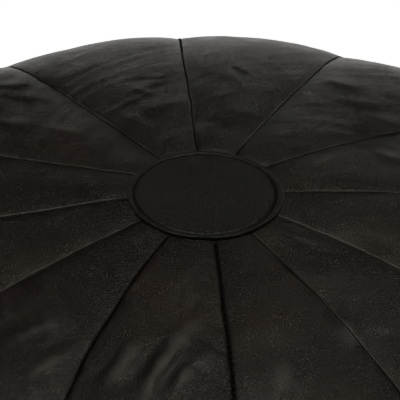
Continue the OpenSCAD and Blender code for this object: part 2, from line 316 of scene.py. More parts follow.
def fold_height(angle, reach, radius, fold):
    """Height at each point of one fold, whose middle line is a parabola."""
    azimuths, reaches = np.radians(fold[0:6:2]), np.array(fold[1:6:2]) * MM
    width, height = fold[6] * MM, fold[7] * MM
    middle_a, middle_s = (azimuths[0] + azimuths[2]) / 2, (reaches[0] + reaches[2]) / 2
    middle_r = float(np.interp(middle_s, REACH, RADIUS))
    chord = np.array([(azimuths[2] - azimuths[0]) * middle_r, reaches[2] - reaches[0]]) / 2
    half = math.hypot(*chord)
    chord /= half
    bow = (azimuths[1] - middle_a) * middle_r * -chord[1] + (reaches[1] - middle_s) * chord[0]
    x, y = wrapped(angle - middle_a) * radius, reach - middle_s
    t = (x * chord[0] + y * chord[1]) / half
    n = (y * chord[0] - x * chord[1] - bow * (1 - t * t)) / (width * (1 + 0.3 * t))
    # One flank is steeper than the other.
    n = n * (1 + 0.25 * np.tanh(n * math.copysign(1, height)))
    ridge = np.exp(-n * n) - 0.22 * np.exp(-((np.abs(n) - 2.1) / 1.1) ** 2)
    return height * ridge * np.exp(-np.abs(t / 0.85) ** 3)


def random_fold(rng, azimuth, reach, length, slant, width, height):
    """A fold through a point, turned by slant from straight outwards, with a random bow."""
    radius = float(np.interp(reach * MM, REACH, RADIUS)) / MM
    half_a, half_s = math.sin(slant) * length / 2, math.cos(slant) * length / 2
    bow = rng.uniform(-0.16, 0.16) * length
    turned = [math.degrees(v / radius) for v in (-half_a, bow * math.cos(slant), half_a)]
    out = [-half_s, -bow * math.sin(slant), half_s]
    line = [v for a, s in zip(turned, out) for v in (azimuth + a, reach + s)]
    return (*line, width, height)


def random_folds():
    """Smaller folds all over: oblique on the top and shoulder, level on the lower side."""
    rng = random.Random(11)
    folds = []
    for gore in range(GORES):
        start = FIRST_SEAM + 360 / GORES * gore
        lean = rng.uniform(-1, 1)
        for _ in range(TOP_FOLDS_PER_GORE):
            folds.append(random_fold(
                rng, start + rng.uniform(4, 26), rng.uniform(95, 330), rng.uniform(18, 70),
                math.radians(rng.gauss(50 * lean, 24)), rng.uniform(2.6, 6.5),
                rng.choice((-1, 1)) * rng.uniform(0.08, 0.34)))
        for _ in range(SIDE_FOLDS_PER_GORE):
            folds.append(random_fold(
                rng, start + rng.uniform(3, 27), rng.uniform(345, 500), rng.uniform(35, 105),
                math.radians(rng.gauss(82, 16) * rng.choice((-1, 1))), rng.uniform(4.0, 8.0),
                rng.choice((-1, 1)) * rng.uniform(0.4, 1.1)))
    return folds


ALL_FOLDS = FOLDS + random_folds()
LUMPS = ((150 * MM, 2.6 * MM, 1), (70 * MM, 1.5 * MM, 2), (34 * MM, 0.30 * MM, 3),
         (17 * MM, 0.10 * MM, 4), (9 * MM, 0.06 * MM, 5))


def lumps(points):
    """Height of the stuffing's unevenness at points on the smooth outline."""
    total = sum(height * soft_noise(points, size, seed) for size, height, seed in LUMPS)
    for azimuth, reach, half_width, height in SWELLS:
        radius, level, _, _ = on_outline(reach * MM)
        a = math.radians(azimuth)
        away = points - np.array([radius * math.cos(a), radius * math.sin(a), level])
        total += height * MM * np.exp(-(away ** 2).sum(axis=-1) / (half_width * MM) ** 2)
    return total


def streaks(angle, reach, radius, lean):
    """Faint long ripples that run obliquely across a gore."""
    x, y = wrapped(angle) * radius, reach
    turned = np.stack([x * math.cos(lean) - y * math.sin(lean),
                       x * math.sin(lean) + y * math.cos(lean), 0 * x], axis=-1)
    stretched = turned / np.array([12 * MM, 34 * MM, 1])
    return 0.22 * MM * soft_noise(stretched, 1.0, 21) + 0.10 * MM * soft_noise(
        stretched * 2.1, 1.0, 22)


def outline_points(angle, reach):
    radius, height, _, _ = on_outline(reach)
    return np.stack([radius * np.cos(angle), radius * np.sin(angle), height], axis=-1)


def skin_fade(reach):
    """Nought under the medallion and at the base seam, where the leather is sewn down."""
    return smoothstep(reach, 54 * MM, 84 * MM) * smoothstep(END_REACH - reach, 6 * MM, 45 * MM)


def lumps_only(angle, reach):
    """The part of the relief that comes from the stuffing, without the leather's folds."""
    return lumps(outline_points(angle, reach)) * skin_fade(reach)


def relief(angle, reach, lean):
    """Height of the leather over the outline, without the gore's own crown and edges."""
    radius = on_outline(reach)[0]
    total = lumps(outline_points(angle, reach)) + streaks(angle, reach, radius, lean)
    for fold in ALL_FOLDS:
        total += fold_height(angle, reach, radius, fold)
    return total * skin_fade(reach)


def place(angle, reach, height):
    """Points over the outline, kept on or above the floor."""
    radius, level, out_r, out_z = on_outline(reach)
    radius, level = radius + height * out_r, level + height * out_z
    return np.stack([radius * np.cos(angle), radius * np.sin(angle),
                     np.maximum(level, 0.2 * MM)], axis=-1)


# ---------------------------------------------------------------- materials

class Nodes:
    """A short way to write a node material."""

    def __init__(self, name):
        self.material = bpy.data.materials.new(name)
        self.material.use_nodes = True
        self.tree = self.material.node_tree
        self.tree.nodes.clear()

    def add(self, kind, inputs=None, **settings):
        node = self.tree.nodes.new("ShaderNode" + kind)
        for key, value in settings.items():
            setattr(node, key, value)
        for key, value in (inputs or {}).items():
            if isinstance(value, bpy.types.NodeSocket):
                self.tree.links.new(value, node.inputs[key])
            else:
                node.inputs[key].default_value = value
        return node

    def where(self):
        return self.add("TexCoord").outputs["Object"]

    def attribute(self, name):
        return self.add("Attribute", attribute_name=name).outputs["Fac"]

    def noise(self, vector, scale, detail=3.0, rough=0.55, w=None, distort=0.0):
        inputs = {"Vector": vector, "Scale": scale, "Detail": detail, "Roughness": rough,
                  "Distortion": distort}
        if w is None:
            return self.add("TexNoise", inputs).outputs["Fac"]
        inputs["W"] = w
        return self.add("TexNoise", inputs, noise_dimensions="4D").outputs["Fac"]

    def math(self, operation, first, second):
        return self.add("Math", {0: first, 1: second}, operation=operation).outputs[0]

    def remap(self, value, low, high, to_low=0.0, to_high=1.0):
        inputs = {"Value": value, "From Min": low, "From Max": high,
                  "To Min": to_low, "To Max": to_high}
        return self.add("MapRange", inputs, interpolation_type="SMOOTHSTEP").outputs["Result"]

    def mix(self, factor, first, second):
        node = self.add("Mix", {0: factor, 6: first, 7: second}, data_type="RGBA")
        return node.outputs[2]

    def bump(self, height, distance, normal=None):
        inputs = {"Height": height, "Distance": distance, "Strength": 1.0}
        if normal is not None:
            inputs["Normal"] = normal
        return self.add("Bump", inputs).outputs["Normal"]

    def surface(self, colour, roughness, normal, **constants):
        inputs = {"Base Color": colour, "Roughness": roughness, "Normal": normal}
        inputs.update({key.replace("_", " "): value for key, value in constants.items()})
        shader = self.add("BsdfPrincipled", inputs)
        self.add("OutputMaterial", {"Surface": shader.outputs["BSDF"]})
        return self.material


def leather(name, dark, light, tint, crest_and_seam_highlight, wax, rough_low, rough_high, grain=0.23 * MM):
    """Black goat leather: fine irregular pebbles with a painted highlight on their tips and painted
    shade between them, mottled dye, paler fold crests and a painted highlight along the seams.
    """
    n = Nodes(name)
    where, hide, ridge = n.where(), n.attribute("hide"), n.attribute("ridge")
    mottle = n.noise(where, 26.0, 5.0, 0.6, w=hide)
    patch = n.noise(where, 8.0, 3.0, 0.5, w=hide)
    colour = n.mix(n.remap(mottle, 0.3, 0.72), dark, light)
    colour = n.mix(n.remap(patch, 0.48, 0.70, 0.0, 0.8), colour, tint)
    # Paler on the fold crests, with a painted highlight along the rolled edges of the seams
    colour = n.mix(n.remap(ridge, 0.0, 1.8, 0.0, 0.9), colour, crest_and_seam_highlight)
    # Pebbles of the grain: domes about 1.6 mm across with smaller ones between. Their tips
    # are smoother and painted paler as a painted highlight, and their valleys are painted darker as
    # painted shade.
    wobble = n.add("TexNoise", {"Vector": where, "Scale": 420.0, "Detail": 1.0})
    wobble = n.add("VectorMath", {0: wobble.outputs["Color"], 3: 0.0007}, operation="SCALE")
    swirl = n.add("VectorMath", {0: where, 1: wobble.outputs[0]}, operation="ADD").outputs[0]
    pebbles = n.add("TexVoronoi", {"Vector": swirl, "Scale": 500.0, "Randomness": 1.0},
                    feature="DISTANCE_TO_EDGE").outputs["Distance"]
    fine = n.add("TexVoronoi", {"Vector": swirl, "Scale": 1150.0, "Randomness": 1.0},
                 feature="DISTANCE_TO_EDGE").outputs["Distance"]
    pebbles, fine = n.remap(pebbles, 0.0, 0.30), n.remap(fine, 0.0, 0.30)
    height = n.math("ADD", pebbles, n.math("MULTIPLY", fine, 0.3))
    depth = n.remap(n.noise(where, 34.0, 2.0, 0.5, w=hide), 0.3, 0.7, 0.5, 1.0)
    height = n.math("MULTIPLY", height, depth)
    tips = n.math("MULTIPLY", n.math("MULTIPLY", pebbles, fine), depth)
    # Painted highlight on the pebble tips and painted shade in the valleys between them
    colour = n.mix(tips, n.mix(0.6, colour, (0.001, 0.001, 0.001, 1)),
                   n.mix(0.45, colour, [min(1.0, 2.8 * c) for c in light[:3]] + [1.0]))
    creases = n.noise(where, 110.0, 3.0, 0.55, w=hide, distort=0.4)
    normal = n.bump(creases, 0.24 * MM)
    normal = n.bump(height, grain, normal)
    rough = n.remap(n.noise(where, 60.0, 4.0, 0.6, w=hide), 0.3, 0.7, rough_low, rough_high)
    rough = n.math("ADD", rough, n.remap(tips, 0.0, 1.0, 0.10, 0.0))
    return n.surface(colour, rough, normal, Specular_Tint=wax)


def thread(name, dark, light):
    """Waxed twisted thread."""
    n = Nodes(name)
    where = n.where()
    twist = n.add("TexWave", {"Vector": where, "Scale": 420.0, "Distortion": 3.0,
                              "Detail": 2.0}).outputs["Fac"]
    colour = n.mix(n.noise(where, 300.0), dark, light)
    return n.surface(colour, n.remap(twist, 0.0, 1.0, 0.42, 0.6), n.bump(twist, 0.12 * MM))


def cloth(name, dark, light, pitch):
    """A plain weave with threads that far apart, and a little fuzz."""
    n = Nodes(name)
    where = n.where()
    scale = 1 / pitch / 2
    warp = n.add("TexWave", {"Vector": where, "Scale": scale, "Distortion": 0.4},
                 bands_direction="X").outputs["Fac"]
    weft = n.add("TexWave", {"Vector": where, "Scale": scale, "Distortion": 0.4},
                 bands_direction="Y").outputs["Fac"]
    weave = n.math("MAXIMUM", warp, weft)
    colour = n.mix(n.math("MULTIPLY", weave, n.noise(where, 180.0)), dark, light)
    return n.surface(colour, n.remap(weave, 0.0, 1.0, 0.95, 0.8), n.bump(weave, 0.15 * MM))


def worn_metal(name, dark, light):
    """Plated zip metal, darker in its scratches and pits."""
    n = Nodes(name)
    where = n.where()
    wear = n.noise(where, 700.0, 5.0, 0.7)
    colour = n.mix(n.remap(wear, 0.35, 0.65), dark, light)
    rough = n.remap(wear, 0.3, 0.7, 0.45, 0.25)
    return n.surface(colour, rough, n.bump(wear, 0.05 * MM), Metallic=1.0)


def moulded_plastic(name, dark, light):
    """Black acetal with a fine mould texture."""
    n = Nodes(name)
    where = n.where()
    speckle = n.noise(where, 1600.0, 3.0, 0.6)
    colour = n.mix(speckle, dark, light)
    return n.surface(colour, n.remap(speckle, 0.3, 0.7, 0.35, 0.5), n.bump(speckle, 0.04 * MM))


# The fourth colour is that of the paler fold crests and of the painted highlight along the seams
GORE_LEATHER = leather("gore_leather", (0.0042, 0.0047, 0.0036, 1), (0.0130, 0.0128, 0.0098, 1),
                       (0.0600, 0.0290, 0.0205, 1), (0.330, 0.312, 0.280, 1),
                       (1.0, 0.95, 0.835, 1), 0.18, 0.27)
MEDALLION_LEATHER = leather("medallion_leather", (0.0036, 0.0036, 0.0029, 1),
                            (0.0090, 0.0090, 0.0072, 1), (0.0270, 0.0150, 0.0110, 1),
                            (0.030, 0.026, 0.022, 1), (0.97, 0.96, 0.87, 1), 0.23, 0.31, 0.20 * MM)
BASE_LEATHER = leather("base_leather", (0.010, 0.0093, 0.0085, 1), (0.024, 0.022, 0.020, 1),
                       (0.026, 0.020, 0.016, 1), (0.060, 0.052, 0.044, 1),
                       (1.0, 0.96, 0.88, 1), 0.52, 0.68)
THREAD = thread("black_thread", (0.004, 0.004, 0.004, 1), (0.015, 0.014, 0.012, 1))
ZIP_TAPE = cloth("zip_tape_cloth", (0.004, 0.004, 0.004, 1), (0.020, 0.020, 0.020, 1), 0.5 * MM)
COTTON = cloth("cotton_cloth", (0.42, 0.39, 0.32, 1), (0.72, 0.68, 0.58, 1), 0.9 * MM)
FIBRE = cloth("white_fibre", (0.55, 0.54, 0.50, 1), (0.80, 0.79, 0.76, 1), 2.6 * MM)
BUCKRAM = cloth("buckram", (0.20, 0.18, 0.14, 1), (0.45, 0.41, 0.33, 1), 1.1 * MM)
ZIP_METAL = worn_metal("zip_metal", (0.19, 0.155, 0.10, 1), (0.38, 0.32, 0.22, 1))
ZIP_PLASTIC = moulded_plastic("zip_plastic", (0.010, 0.010, 0.010, 1), (0.022, 0.022, 0.022, 1))


# ---------------------------------------------------------------- gores

def edge_columns(seam):
    """Distance from a seam, and drop below the surface, of the columns beside it."""
    size = EDGE_ROUND[seam % GORES] * MM
    turn = np.radians(np.linspace(0, 90, 7))
    beyond = np.array([3, 4.6, 6.8, 9.6]) * MM
    distance = np.concatenate([[0, 0], size * (1 - np.cos(turn)), beyond])
    drop = np.concatenate([[6 * MM, 3.4 * MM], size * (1 - np.sin(turn)), np.zeros(4)])
    return distance + SEAM_GAP, drop


def crown(distance, width):
    """How far a gore stands out at that distance from its nearer seam."""
    middle = np.clip(distance / (width / 2), 0, 1)
    swell = 0.024 * width * ((1 - (1 - middle) ** 2.2) - 0.55)
    lip = np.minimum(0.010 * width, 0.6 * MM) * (1 - np.exp(-distance / (3.5 * MM)))
    return swell + lip


def reach_of_radius(radius):
    """The reach of the point on the top or shoulder with that radius."""
    widest = int(np.argmax(RADIUS))
    return float(np.interp(radius, RADIUS[:widest], REACH[:widest]))


def gore_rows():
    """The reaches of a gore's rows, closer together where its foot turns up."""
    foot = END_REACH - 12 * MM
    plain = np.arange(reach_of_radius(GORE_END_R), foot, ROW_STEP)
    return np.concatenate([plain, np.linspace(foot, END_REACH, 14)])


def make_gore(index):
    """One gore, from under the medallion to the base seam."""
    reach = gore_rows()[:, None]
    radius = on_outline(reach)[0]
    left, right = seam_angle(index, reach), seam_angle(index + 1, reach)
    width = (right - left) * radius
    inner = max(4, int(round(GORE_WIDTH / COLUMN_STEP)))
    first, first_drop = edge_columns(index)
    last, last_drop = edge_columns(index + 1)
    share = (np.arange(1, inner) / inner)[None, :]
    middle = first[-1] + (width - first[-1] - last[-1]) * share
    distance = np.concatenate([first + 0 * width, middle, width - last[::-1]], axis=1)
    drop = np.concatenate([first_drop, np.zeros(inner - 1), last_drop[::-1]])[None, :]
    angle = left + distance / radius
    reach = reach + 0 * distance
    lean = math.radians(random.Random(40 + index).uniform(-70, 70))
    bumps = relief(angle, reach, lean)
    from_seam = np.minimum(distance, width - distance)
    swell = crown(from_seam, width) * smoothstep(END_REACH - reach, 4 * MM, 50 * MM)
    swell *= smoothstep(reach, 50 * MM, 62 * MM)
    # The gores are fuller behind the medallion, and hide its edge there.
    behind = np.clip(np.sin(angle) + 0.25, 0, 1)
    swell += (0.9 * MM * behind * smoothstep(reach, 56.5 * MM, 61 * MM)
              * (1 - smoothstep(reach, 64 * MM, 100 * MM)))
    points = place(angle, reach, bumps + swell - drop)
    rows, columns = points.shape[:2]
    faces = grid_faces(rows, columns)
    # The leather is paler on the fold crests, and has a painted highlight along the rolled edges of
    # the seams.
    ridge = np.clip(bumps / MM - lumps_only(angle, reach) / MM, -2, 2)
    nearest = np.where(distance < width / 2, index, index + 1) % GORES
    size = np.array(EDGE_ROUND)[nearest] * MM
    seam_highlight = 1.3 + 0.9 * soft_noise(points, 28 * MM, 51) + 0.4 * soft_noise(points, 7 * MM, 52)
    seam_highlight *= np.array(SEAM_HIGHLIGHT)[nearest]
    # A painted highlight band along each seam's rolled edge, added to the ridge attribute
    ridge += seam_highlight * np.exp(-((from_seam - 0.6 * size) / (0.28 * size)) ** 2)
    hide = np.full(points.shape[:2], random.Random(70 + index).uniform(0, 9))
    name = f"gore_{index + 1:02d}"
    piece = new_piece(name + "_leather", points.reshape(-1, 3), faces,
                      {"ridge": ridge, "hide": hide})
    thicken(piece, LEATHER_T)
    finish_piece(piece, GORE_LEATHER, "gore_leather", "root", name)


def make_seam_stitches():
    """The thread that shows as short bars across the bottom of each seam's valley."""
    centres, axes = [], []
    for index in range(GORES):
        reach = np.arange(FIRST_STITCH_REACH, END_REACH - 3 * MM, SEAM_STITCH_PITCH)
        angle = seam_angle(index, reach)
        height = relief(angle, reach, 0.0) - 1.7 * MM
        here = place(angle, reach, height)
        ahead = place(seam_angle(index, reach + MM), reach + MM, height)
        across = np.stack([-np.sin(angle), np.cos(angle), 0 * angle], axis=-1)
        axes.append(across + 0.35 * (ahead - here) / MM)
        centres.append(here)
    verts, faces = capsules(np.concatenate(centres), np.concatenate(axes), 2.6 * MM, STITCH_R)
    piece = new_piece("gore_seam_stitches", verts, faces)
    finish_piece(piece, THREAD, "thread", "root", "gore_seam_threads")


# ---------------------------------------------------------------- medallion

TOPSTITCH_R = 53.8 * MM
MEDALLION_STITCHES = 84


def groove_radius(angle):
    """The topstitching's radius: sewn by hand, and further from the edge towards +X."""
    flat = np.stack([8 * np.cos(angle), 8 * np.sin(angle), 0 * angle], axis=-1)
    wider = np.exp(-(wrapped(angle + 0.15) / 0.55) ** 2)
    return TOPSTITCH_R + 0.35 * MM * soft_noise(flat, 3.0, 31) - 2.6 * MM * wider


def medallion_height(radius, angle):
    """Height over the gores of the medallion's upper surface."""
    groove = groove_radius(angle)
    rim_middle = (groove + 1.0 * MM + MEDALLION_R) / 2
    rim_half = (MEDALLION_R - groove - 1.0 * MM) / 2
    rim = np.sqrt(np.clip(1 - ((radius - rim_middle) / (rim_half * 1.05)) ** 2, 0, 1))
    field = 2.2 * MM + 0.4 * MM * (1 - (radius / MEDALLION_R) ** 2)
    field -= 0.5 * MM * np.sin(angle) * (radius / MEDALLION_R) ** 2
    deep = (0.9 - 0.4 * np.clip(np.sin(angle), 0, 1)) * MM
    wide = (0.8 + 0.8 * np.exp(-(wrapped(angle + 0.15) / 0.55) ** 2)) * MM
    field -= deep * np.exp(-((radius - groove) / wide) ** 2)
    points = np.stack([radius * np.cos(angle), radius * np.sin(angle), 0 * radius], axis=-1)
    field += 0.22 * MM * soft_noise(points, 26 * MM, 33) + 0.08 * MM * soft_noise(
        points, 9 * MM, 34)
    pull = 0.07 * MM * np.cos(MEDALLION_STITCHES * angle)
    pull = pull * np.exp(-((radius - groove + 2 * MM) / (1.5 * MM)) ** 2)
    raised = smoothstep(radius, groove - 0.2 * MM, groove + 0.8 * MM)
    return field + pull + raised * (0.22 * MM * rim - 0.08 * MM)


def make_medallion():
    """The medallion from its middle, over its rolled edge and back under it."""
    around = 6 * MEDALLION_STITCHES
    angle = (np.arange(around) * 2 * math.pi / around)[None, :]
    upper = np.concatenate([np.linspace(1.5, 48, 26), np.linspace(48.8, 57.2, 22)]) * MM
    rings = [(r + 0 * angle, SKIN_Z + medallion_height(r + 0 * angle, angle)) for r in upper]
    wobble = 0.45 * MM * soft_noise(np.stack(
        [6 * np.cos(angle), 6 * np.sin(angle), 0 * angle], axis=-1), 2.0, 35)
    top_at_edge = rings[-1][1]
    for a in np.radians((25, 50, 75, 100, 130, 160, 180)):
        radius = MEDALLION_R - 1.1 * MM + 1.3 * MM * math.sin(a) ** 0.55 + wobble
        lift = (1 + math.cos(a)) / 2
        rings.append((radius, SKIN_Z + 0.1 * MM + (top_at_edge - SKIN_Z - 0.1 * MM) * lift))
    rings.append((46 * MM + 0 * angle, SKIN_Z + 0.1 * MM + 0 * angle))
    rings.append((45 * MM + 0 * angle, SKIN_Z + 1.6 * MM + 0 * angle))
    verts = [np.stack([r * np.cos(angle), r * np.sin(angle), z + 0 * angle], axis=-1)[0]
             for r, z in rings]
    verts = np.concatenate(verts)
    faces = [tuple(f) for f in grid_faces(len(rings), around, closed=True)]
    centre = len(verts)
    middle = SKIN_Z + float(medallion_height(np.array([[0.0]]), np.array([[0.0]]))[0, 0])
    verts = np.concatenate([verts, [[0, 0, middle]]])
    faces += [(centre, k, (k + 1) % around) for k in range(around)]
    piece = new_piece("medallion_leather", verts, faces,
                      {"ridge": np.zeros(len(verts)), "hide": np.full(len(verts), 20.0)})
    finish_piece(piece, MEDALLION_LEATHER, "medallion_leather", "root", "medallion")


def make_topstitch():
    """The medallion's stitches, a little uneven in spacing and slant."""
    count = MEDALLION_STITCHES
    rng = random.Random(5)
    angle = np.array([2 * math.pi * (k + rng.uniform(-0.08, 0.08)) / count for k in range(count)])
    radius = groove_radius(angle)
    height = SKIN_Z + medallion_height(radius, angle) + 0.25 * MM
    centres = np.stack([radius * np.cos(angle), radius * np.sin(angle), height], axis=-1)
    tilt = np.array([rng.gauss(0.10, 0.07) for _ in angle])
    axes = np.stack([-np.sin(angle + tilt), np.cos(angle + tilt), 0 * angle], axis=-1)
    verts, faces = capsules(centres, axes, 3.3 * MM, STITCH_R)
    piece = new_piece("medallion_stitches", verts, faces)
    finish_piece(piece, THREAD, "thread", "root", "medallion_topstitch")


# ---------------------------------------------------------------- base

# The base is raised within BASE_FLAT_R and meets the floor from BASE_FOOT_R outwards.
BASE_FLAT_R = 172 * MM
BASE_FOOT_R = 196 * MM
BASE_EDGE_R = BASE_SEAM_R - 1.1 * MM
# Half the length and half the width of the gap in which the zip shows
OPENING_HALF = 150 * MM
SLOT_HALF = 6 * MM
ZIP_STITCH_PITCH = 4 * MM
TOOTH_PITCH = 3 * MM


def base_height(radius):
    fall = smoothstep(radius, BASE_FLAT_R, BASE_FOOT_R)
    return BASE_Z * (1 - fall)


def make_base_panel(name, side):
    """One half of the base. side is 1 for the half at +Y and -1 for the half at -Y."""
    along, across = 180, 70
    turn = np.linspace(0, math.pi, along)[:, None]
    x_in = BASE_EDGE_R * np.cos(turn)
    slot = 1 - smoothstep(np.abs(x_in), OPENING_HALF - 1 * MM, OPENING_HALF + 3 * MM)
    y_in = SEAM_GAP + (SLOT_HALF - SEAM_GAP) * slot
    share = (np.linspace(0, 1, across) ** 1.35)[None, :]
    x_out, y_out = BASE_EDGE_R * np.cos(turn), BASE_EDGE_R * np.sin(turn)
    y_out = np.maximum(y_out, y_in + 0.3 * MM)
    x, y = x_in + (x_out - x_in) * share, y_in + (y_out - y_in) * share
    radius = np.hypot(x, y)
    points = np.stack([x, side * y, 0 * x], axis=-1)
    sag = 1.1 * MM * soft_noise(points, 60 * MM, 51) + 0.5 * MM * soft_noise(points, 24 * MM, 52)
    sag += 0.2 * MM * soft_noise(points, 10 * MM, 53)
    sag *= smoothstep(BASE_EDGE_R - radius, 2 * MM, 30 * MM) * smoothstep(y - y_in, 0, 14 * MM)
    z = base_height(radius) + sag
    from_edge = y - y_in
    roll = 1.5 * MM
    z += roll * (1 - np.sqrt(np.clip(1 - (1 - np.clip(from_edge / roll, 0, 1)) ** 2, 0, 1)))
    rim = np.clip((radius - BASE_EDGE_R + roll) / roll, 0, 1)
    z += roll * (1 - np.sqrt(1 - rim ** 2))
    # The hem's inner edge shows as a faint step beside the opening.
    z -= 0.35 * MM * smoothstep(from_edge, 11 * MM, 9 * MM) * slot
    z = np.maximum(z, 0.2 * MM)
    grid = np.stack([x, side * y, z], axis=-1)
    turned = grid[:, :1] + np.array([0, 0, 2.2 * MM])
    wall = grid[:, -1:] + np.array([0, 0, 4.5 * MM])
    grid = np.concatenate([turned, grid, wall], axis=1)
    faces = grid_faces(along, across + 2)
    if side < 0:
        faces = faces[:, ::-1]
    ridge = np.zeros(grid.shape[:2])
    piece = new_piece(name + "_leather", grid.reshape(-1, 3), faces,
                      {"ridge": ridge, "hide": np.full(grid.shape[:2], 30.0 + side)})
    thicken(piece, BASE_LEATHER_T)
    finish_piece(piece, BASE_LEATHER, "base_leather", "root", name)


def make_base_threads():
    """The bars of thread in the valley between the gores and the base."""
    count = int(2 * math.pi * BASE_SEAM_R / SEAM_STITCH_PITCH)
    angle = np.arange(count) * 2 * math.pi / count
    out = np.stack([np.cos(angle), np.sin(angle), 0 * angle], axis=-1)
    around = np.stack([-np.sin(angle), np.cos(angle), 0 * angle], axis=-1)
    centres = out * (BASE_SEAM_R - 0.3 * MM) + np.array([0, 0, 2.2 * MM])
    verts, faces = capsules(centres, out + 0.35 * around, 2.6 * MM, STITCH_R)
    piece = new_piece("base_seam_stitches", verts, faces)
    finish_piece(piece, THREAD, "thread", "root", "base_seam_thread")
    x = np.arange(OPENING_HALF + 6 * MM, BASE_EDGE_R - 4 * MM, SEAM_STITCH_PITCH)
    x = np.concatenate([-x[::-1], x])
    centres = np.stack([x, 0 * x, base_height(np.abs(x)) + 1.2 * MM], axis=-1)
    axes = np.stack([0.35 + 0 * x, 1 + 0 * x, 0 * x], axis=-1)
    verts, faces = capsules(centres, axes, 2.4 * MM, STITCH_R)
    piece = new_piece("base_centre_stitches", verts, faces)
    finish_piece(piece, THREAD, "thread", "root", "base_centre_threads")


def make_zip_topstitch():
    """The two rows of stitches that hold the zip's tapes."""
    x = np.arange(-OPENING_HALF + 3 * MM, OPENING_HALF - 2 * MM, ZIP_STITCH_PITCH)
    rows = []
    for side in (-1, 1):
        rows.append(np.stack([x, side * (STITCH_ROW_Y - 0.3 * MM) + 0 * x,
                              BASE_Z - 0.15 * MM + 0 * x], axis=-1))
    centres = np.concatenate(rows)
    axes = np.tile(np.array([[1.0, 0.05, 0.0]]), (len(centres), 1))
    verts, faces = capsules(centres, axes, 3.2 * MM, 0.4 * MM)
    piece = new_piece("zip_stitches", verts, faces)
    finish_piece(piece, THREAD, "thread", "root", "zip_topstitch")


def make_tape(name, side):
    """A woven zip tape, slightly rippled between its stitches."""
    low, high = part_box("zip_tape_rear")
    x, y = np.meshgrid(np.linspace(low.x, high.x, 217), np.linspace(low.y, high.y, 9),
                       indexing="ij")
    points = np.stack([x, side * y, 0 * x], axis=-1)
    z = (low.z + high.z) / 2 + 0.14 * MM * soft_noise(points, 14 * MM, 61)
    faces = grid_faces(217, 9)
    if side > 0:
        faces = faces[:, ::-1]
    piece = new_piece(name + "_cloth", np.stack([x, side * y, z], axis=-1).reshape(-1, 3), faces)
    cloth_body = piece.modifiers.new("thickness", "SOLIDIFY")
    cloth_body.thickness = high.z - low.z
    cloth_body.offset = 0
    finish_piece(piece, ZIP_TAPE, "zip_tape", "root", name)


# A tooth from above: its foot grips the tape at +Y and its head reaches over the middle line
TOOTH = np.array([(-0.65, 3.0), (0.65, 3.0), (0.65, 1.3), (0.42, 0.7), (0.42, 0.2), (0.64, -0.2),
                  (0.60, -0.7), (0.35, -1.0), (-0.35, -1.0), (-0.60, -0.7), (-0.64, -0.2),
                  (-0.42, 0.2), (-0.42, 0.7), (-0.65, 1.3)]) * MM
TOOTH_LEVELS = ((-1.2, 0.78), (-0.95, 0.95), (-0.7, 1.0), (0.7, 1.0), (0.95, 0.95), (1.2, 0.78))


def make_teeth(name, side):
    """One row of teeth. side is 1 for the row whose tape is at +Y."""
    low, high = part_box(name)
    size = len(TOOTH)
    count = int(round((high.x - low.x - 1.3 * MM) / TOOTH_PITCH)) + 1
    middle_y = TOOTH[:, 1].mean()
    one = []
    for level, scale in TOOTH_LEVELS:
        ring = np.stack([TOOTH[:, 0] * scale, (TOOTH[:, 1] - middle_y) * scale + middle_y,
                         np.full(size, level * MM)], axis=-1)
        one.append(ring)
    one = np.concatenate(one) * np.array([1, side, 1])
    first = np.array([low.x + 0.65 * MM, 0, (low.z + high.z) / 2])
    verts = np.concatenate([one + first + [TOOTH_PITCH * k, 0, 0] for k in range(count)])
    faces = [tuple(f) for f in grid_faces(len(TOOTH_LEVELS), size, closed=True)]
    faces += [tuple(range(size)), tuple(reversed(range(len(one) - size, len(one))))]
    faces = [f if side < 0 else f[::-1] for f in faces]
    every = [tuple(v + k * len(one) for v in f) for k in range(count) for f in faces]
    piece = new_piece(name + "_moulded", verts, every)
    finish_piece(piece, ZIP_PLASTIC, "zip_teeth", "root", name)


def repaint(node, material):
    """A better material on a CAD node that stays."""
    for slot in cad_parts[node].material_slots:
        slot.material = material


# ---------------------------------------------------------------- inside

BAG_INSET = OUTER_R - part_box("inner_bag_side")[1].x
BAG_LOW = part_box("inner_bag_bottom")[0].z
BAG_SEAM_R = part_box("inner_bag_top")[1].x
FILL_INSET = OUTER_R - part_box("stuffing")[1].x
FILL_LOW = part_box("stuffing")[0].z
AROUND = 240


def inner_rings(inset, low, reaches, wrinkle, seed):
    """Rings of points at that depth under the outline, which follow the leather's lumps."""
    angle = (np.arange(AROUND) * 2 * math.pi / AROUND)[None, :]
    reach = reaches[:, None] + 0 * angle
    radius, height, out_r, out_z = on_outline(reach)
    points = np.stack([radius * np.cos(angle), radius * np.sin(angle), height], axis=-1)
    offset = lumps(points) * skin_fade(reach) - inset
    offset -= wrinkle * (1 + soft_noise(points, 24 * MM, seed)) / 2
    offset -= 0.4 * wrinkle * (1 + soft_noise(points, 9 * MM, seed + 1)) / 2
    radius, height = radius + offset * out_r, np.maximum(height + offset * out_z, low)
    return np.stack([radius * np.cos(angle), radius * np.sin(angle), height], axis=-1)


def flat_rings(outer, low, wrinkle, seed, count=26):
    """Rings of a bottom disc, from its rim to near its middle."""
    angle = (np.arange(AROUND) * 2 * math.pi / AROUND)[None, :]
    radius = np.linspace(outer, 2 * MM, count)[:, None] + 0 * angle
    points = np.stack([radius * np.cos(angle), radius * np.sin(angle), 0 * radius], axis=-1)
    points[..., 2] = low + wrinkle * (1 + soft_noise(points, 30 * MM, seed)) / 2
    return points


def make_inner(name, node, slot, rings, material, thickness, centres=()):
    """A surface through rings, with its first or last ring filled in where centres says so."""
    count = len(rings)
    faces = [tuple(f) for f in grid_faces(count, AROUND, closed=True)]
    if "first" in centres:
        faces.append(tuple(range(AROUND)))
    if "last" in centres:
        faces.append(tuple(reversed(range((count - 1) * AROUND, count * AROUND))))
    piece = new_piece(name, rings.reshape(-1, 3), faces)
    if thickness:
        thicken(piece, thickness)
    finish_piece(piece, material, slot, "root", node)


